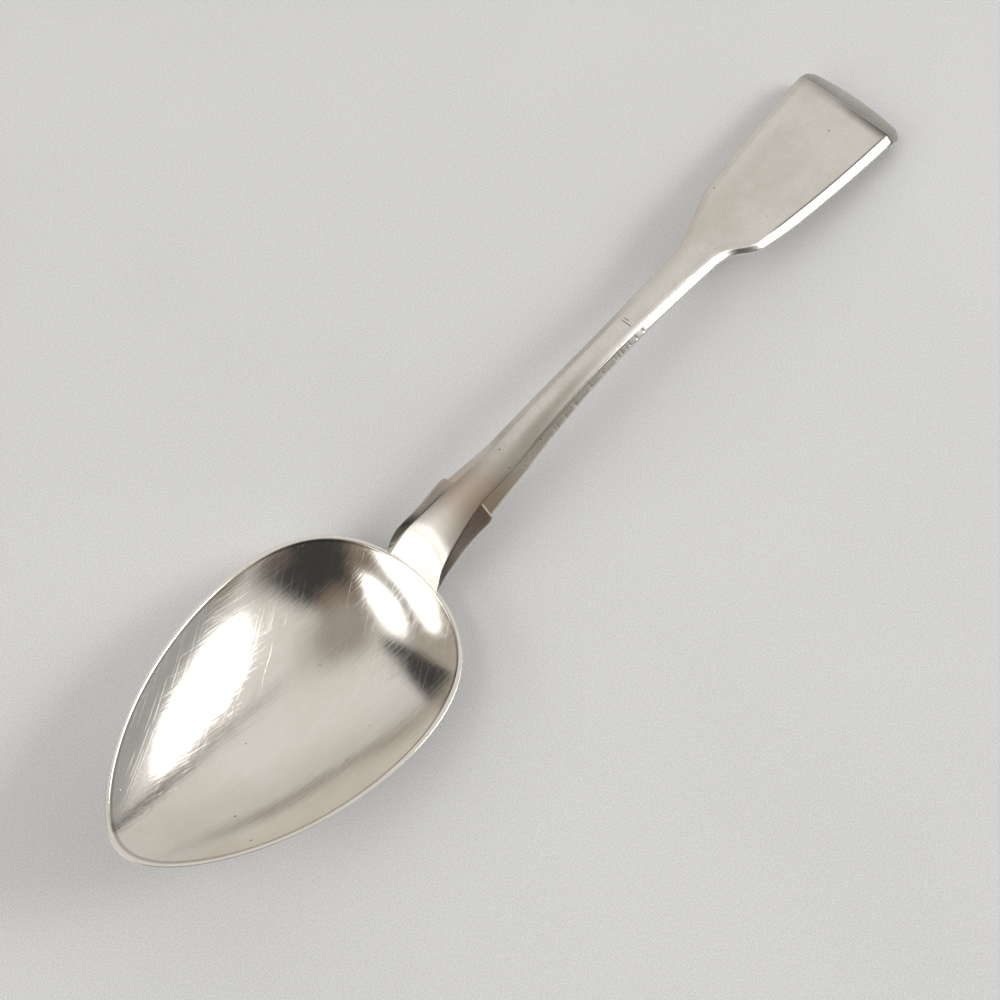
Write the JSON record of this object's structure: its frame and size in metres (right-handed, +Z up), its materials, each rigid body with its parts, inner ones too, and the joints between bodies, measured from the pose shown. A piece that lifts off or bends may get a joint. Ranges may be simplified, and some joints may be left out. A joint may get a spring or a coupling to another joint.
{
  "type": "teaspoon",
  "caption": "Silver teaspoon with an egg-shaped bowl, a shouldered neck lapped under the bowl, a slim arched stem and a fiddle-shaped handle end turned down at the tip.",
  "frame": {"origin": "centre of the spoon's plan, on the table it lies on, face up", "axes": "+X from the bowl's tip to the handle's end, +Y across the spoon, +Z up out of the bowl"},
  "size_m": [0.14, 0.0318, 0.015],
  "materials": {
    "bowl_silver": "old polished silver, finely scratched along its length",
    "handle_silver": "old silver with a soft satin wear and light tarnish"
  },
  "bodies": {
    "root": {"bowl": "bowl_silver", "handle": "handle_silver"}
  },
  "joints": []
}
